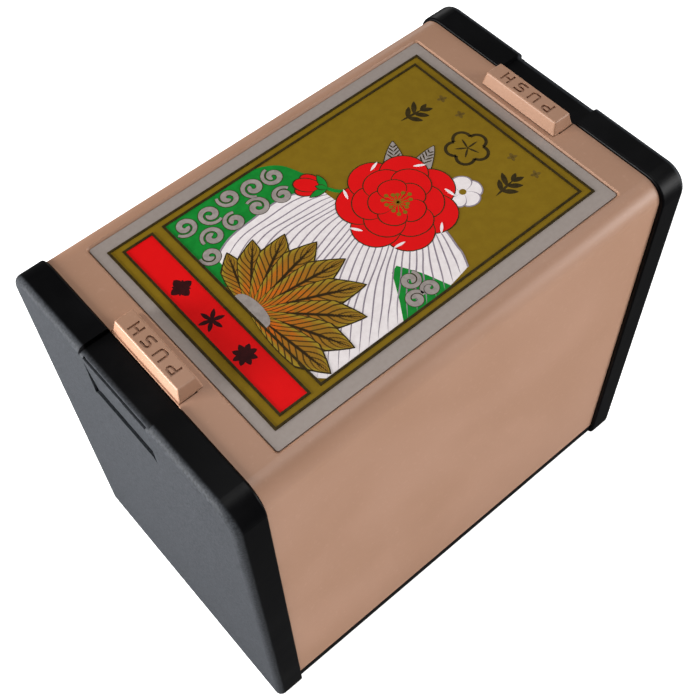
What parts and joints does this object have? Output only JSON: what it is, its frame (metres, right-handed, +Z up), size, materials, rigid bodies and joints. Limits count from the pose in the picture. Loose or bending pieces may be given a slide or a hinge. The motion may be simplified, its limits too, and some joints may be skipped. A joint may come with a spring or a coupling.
{
  "type": "playing card case",
  "caption": "Hard plastic case for a deck of small stiff cards: black U-shaped base, lift-off tan cover with a push latch at each end, and the deck inside.",
  "frame": {"origin": "centre of the case's footprint, on the surface that it stands on", "axes": "+X along the case from the left end wall to the right one, -Y towards the front, +Z up"},
  "size_m": [0.0648, 0.0402, 0.058],
  "materials": {
    "black_plastic": "injection-moulded black styrene, fine spark-eroded grain on the walls' outer faces, smoother rims",
    "tan_plastic": "injection-moulded pinkish tan plastic, satin",
    "label_print": "printed foil label with a silver border",
    "card_board": "lacquered pressed paper board with paper-wrapped black back and edges",
    "paper": "thin uncoated paper, folded once"
  },
  "bodies": {
    "base": {"base_frame": "black_plastic", "leaflet": "paper", "card_cherry_1": "card_board", "card_cherry_2": "card_board", "card_cherry_3": "card_board", "card_cherry_4": "card_board", "card_chrysanthemum_1": "card_board", "card_chrysanthemum_2": "card_board", "card_chrysanthemum_3": "card_board", "card_chrysanthemum_4": "card_board", "card_clover_1": "card_board", "card_clover_2": "card_board", "card_clover_3": "card_board", "card_clover_4": "card_board", "card_iris_1": "card_board", "card_iris_2": "card_board", "card_iris_3": "card_board", "card_iris_4": "card_board", "card_maple_1": "card_board", "card_maple_2": "card_board", "card_maple_3": "card_board", "card_maple_4": "card_board", "card_pampas_1": "card_board", "card_pampas_2": "card_board", "card_pampas_3": "card_board", "card_pampas_4": "card_board", "card_paulownia_1": "card_board", "card_paulownia_2": "card_board", "card_paulownia_3": "card_board", "card_paulownia_4": "card_board", "card_peony_1": "card_board", "card_peony_2": "card_board", "card_peony_3": "card_board", "card_peony_4": "card_board", "card_pine_1": "card_board", "card_pine_2": "card_board", "card_pine_3": "card_board", "card_pine_4": "card_board", "card_plum_1": "card_board", "card_plum_2": "card_board", "card_plum_3": "card_board", "card_plum_4": "card_board", "card_spare": "card_board", "card_willow_1": "card_board", "card_willow_2": "card_board", "card_willow_3": "card_board", "card_willow_4": "card_board", "card_wisteria_1": "card_board", "card_wisteria_2": "card_board", "card_wisteria_3": "card_board", "card_wisteria_4": "card_board"},
    "cover": {"cover": "tan_plastic", "label": "label_print"},
    "latch_left": {"latch_left": "tan_plastic"},
    "latch_right": {"latch_right": "tan_plastic"}
  },
  "joints": [
    {"name": "cover_lift", "type": "slide", "parent": "base", "child": "cover", "axis": [0, 0, 1], "range_m": [0, 0.06]},
    {"name": "latch_left_press", "type": "hinge", "parent": "cover", "child": "latch_left", "pos_m": [-0.0256, 0, 0.0555], "axis": [0, -1, 0], "range_deg": [-5, 8], "stiffness_Nm_per_rad": 0.03, "springref_deg": -5},
    {"name": "latch_right_press", "type": "hinge", "parent": "cover", "child": "latch_right", "pos_m": [0.0256, 0, 0.0555], "axis": [0, 1, 0], "range_deg": [-5, 8], "stiffness_Nm_per_rad": 0.03, "springref_deg": -5}
  ]
}
